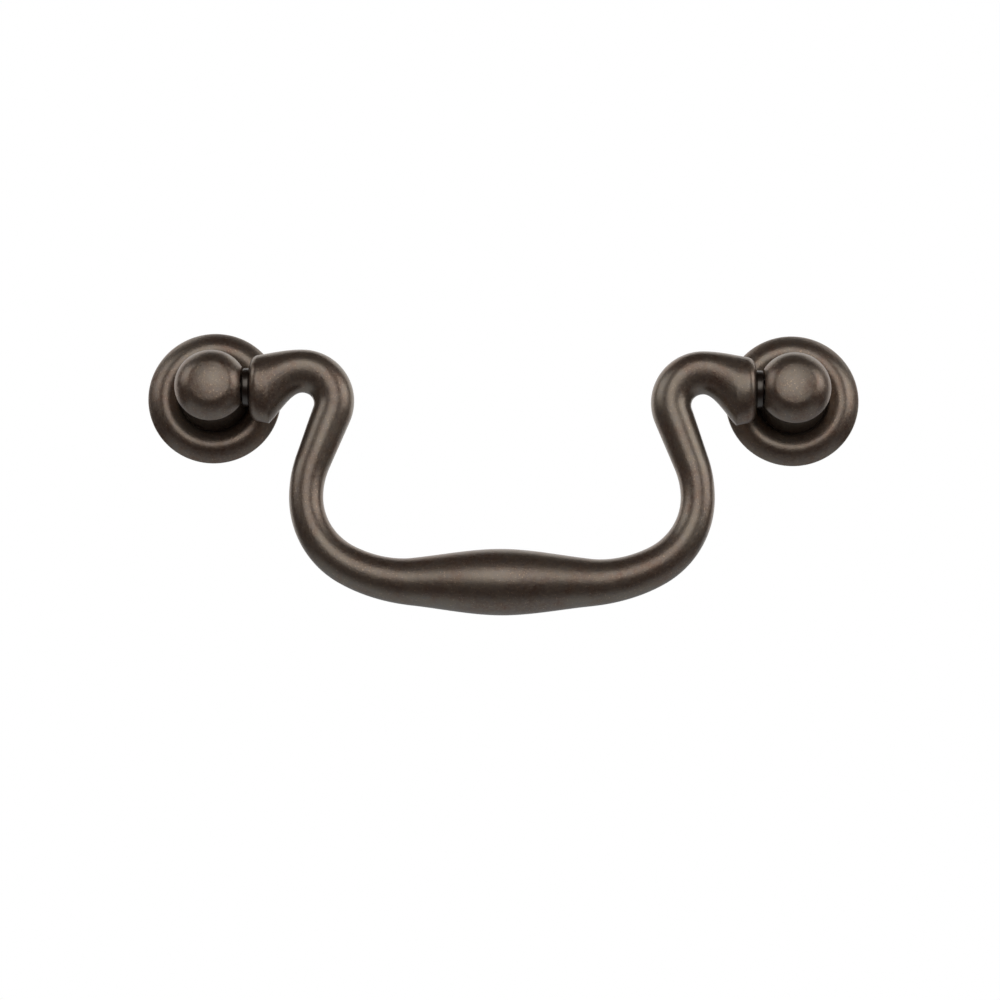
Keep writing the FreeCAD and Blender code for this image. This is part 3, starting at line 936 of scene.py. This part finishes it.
def softbox(name, azimuth, elevation, wide, tall, radiance, colour=(1, 1, 1)):
    """An area lamp that covers wide by tall degrees as seen from the pull."""
    lamp = bpy.data.lights.new(name, "AREA")
    lamp.shape = "RECTANGLE"
    lamp.size = 2 * lamp_distance * math.tan(math.radians(wide / 2))
    lamp.size_y = 2 * lamp_distance * math.tan(math.radians(tall / 2))
    lamp.energy = radiance * math.pi * lamp.size * lamp.size_y
    lamp.color = colour
    thing = new_object(name, lamp)
    thing.matrix_world = facing(target, azimuth, elevation, lamp_distance)
    thing.visible_camera = False
    print(f"{name}: {lamp.size:.2f} by {lamp.size_y:.2f} m, {lamp.energy:.2f} W")


softbox("front_box", azimuth=0, elevation=14.3, wide=50, tall=44.6, radiance=1.06)
softbox("right_box", azimuth=66, elevation=20.5, wide=78.5, tall=33.4, radiance=1.36)
# The left one is a touch cooler, as daylight from a window is.
softbox("left_box", azimuth=-70.5, elevation=27.9, wide=79, tall=31.7, radiance=0.98,
        colour=(0.95, 0.98, 1.0))

# %% [markdown]
# Photographers hang cloth round a shiny thing, so that the metal mirrors a calm dark room between the lamps
# and not a white one. This tent is a sphere of cloth that is open behind, where the white backdrop gives
# the pull its light edges. It is seen in reflections only, so it shades nothing and the camera looks
# through it.

# %% The tent's shape
tent_radius = 0.87
tent_step = 3                       # degrees between the rows of its mesh
opening_from = 119.0                # it is open beyond this azimuth on either side
opening_low = -2.0
opening_high = 59.0

shell = bmesh.new()
rows = []
for elevation in range(-90, 91, tent_step):
    places = [target + way(azimuth, elevation) * tent_radius for azimuth in range(-180, 181, tent_step)]
    rows.append([shell.verts.new(place) for place in places])
for i, (lower, upper) in enumerate(zip(rows, rows[1:])):
    elevation = -90 + tent_step * (i + 0.5)
    for k in range(len(lower) - 1):
        azimuth = -180 + tent_step * (k + 0.5)
        if not (abs(azimuth) > opening_from and opening_low < elevation < opening_high):
            shell.faces.new((lower[k], lower[k + 1], upper[k + 1], upper[k]))
tent_mesh = bpy.data.meshes.new("studio_tent")
shell.to_mesh(tent_mesh)
shell.free()
print("tent:", len(tent_mesh.polygons), "faces")

# %% [markdown]
# The cloth glows with its own light, in place of lit cloth. It is dark brown in front. Low down and behind
# it glows lighter, standing in for pale light that comes up from a table, and that gives the undersides of
# the bar and of the knobs their grey sheen.

# %% The tent's cloth
cloth = bpy.data.materials.new("tent_cloth")
cloth.use_nodes = True
cloth_tree = cloth.node_tree
cloth_tree.nodes.clear()
cloth_place = add_node(cloth_tree, "ShaderNodeTexCoord", output="Object")
cloth_y = add_node(cloth_tree, "ShaderNodeSeparateXYZ", {0: cloth_place}, output="Y")
cloth_z = add_node(cloth_tree, "ShaderNodeSeparateXYZ", {0: cloth_place}, output="Z")


def fade(value, start, end):
    """A share that rises from 0 to 1 between two places, given in parts of the tent's radius."""
    span = {"Value": value, "From Min": start * tent_radius, "From Max": end * tent_radius}
    return add_node(cloth_tree, "ShaderNodeMapRange", span, interpolation_type="SMOOTHSTEP")


low_down = fade(cloth_z, -0.40, -0.60)
under = add_node(cloth_tree, "ShaderNodeMath", {0: low_down, 1: fade(cloth_y, -0.62, 0.20)},
                 operation="MULTIPLY")
lighter = add_node(cloth_tree, "ShaderNodeMath", {0: under, 1: fade(cloth_y, 0.40, 0.60)},
                   operation="MAXIMUM")
cloth_tone = add_node(cloth_tree, "ShaderNodeMix", {0: lighter, 6: linear("#3a2c26"), 7: linear("#9ca0a5")},
                      output=2, data_type="RGBA")
cloth_glow = add_node(cloth_tree, "ShaderNodeEmission", {"Color": cloth_tone, "Strength": 1.0})
add_node(cloth_tree, "ShaderNodeOutputMaterial", {"Surface": cloth_glow})
tent_mesh.materials.append(cloth)
tent = new_object("studio_tent", tent_mesh)
tent.visible_camera = False
tent.visible_diffuse = False
tent.visible_shadow = False
tent.visible_transmission = False
print("tent cloth:", len(cloth_tree.nodes), "nodes")

# %% [markdown]
# The camera stands where the photographer's did: nearly straight in front of the pull, 12 degrees below it
# and 0.74 m away, with a long lens. The focal length is given in pixels of the picture, because that can be
# measured in the photograph, and a small roll turns the pull as it is turned there.

# %% Camera
aim = Vector((-0.4, 0, -17)) * MM
camera_distance = 740 * MM
frame_pixels = 1000
focal_pixels = 4470
camera_data = bpy.data.cameras.new("camera")
camera_data.sensor_width = 36.0
camera_data.lens = camera_data.sensor_width * focal_pixels / frame_pixels
camera_data.clip_start = 0.01
camera_data.clip_end = 50
camera = new_object("camera", camera_data)
camera.matrix_world = facing(aim, azimuth=0.7, elevation=-12.0, distance=camera_distance, roll=0.42)
bpy.context.scene.camera = camera
pixel_width = camera_distance / focal_pixels / MM
print(f"camera: lens {camera_data.lens:.1f} mm, a pixel is {pixel_width:.3f} mm wide at the pull")

# %% [markdown]
# The Standard view shows a colour as it is written, so that it can be compared with the photograph.

# %% Colour management
bpy.context.scene.view_settings.view_transform = "Standard"
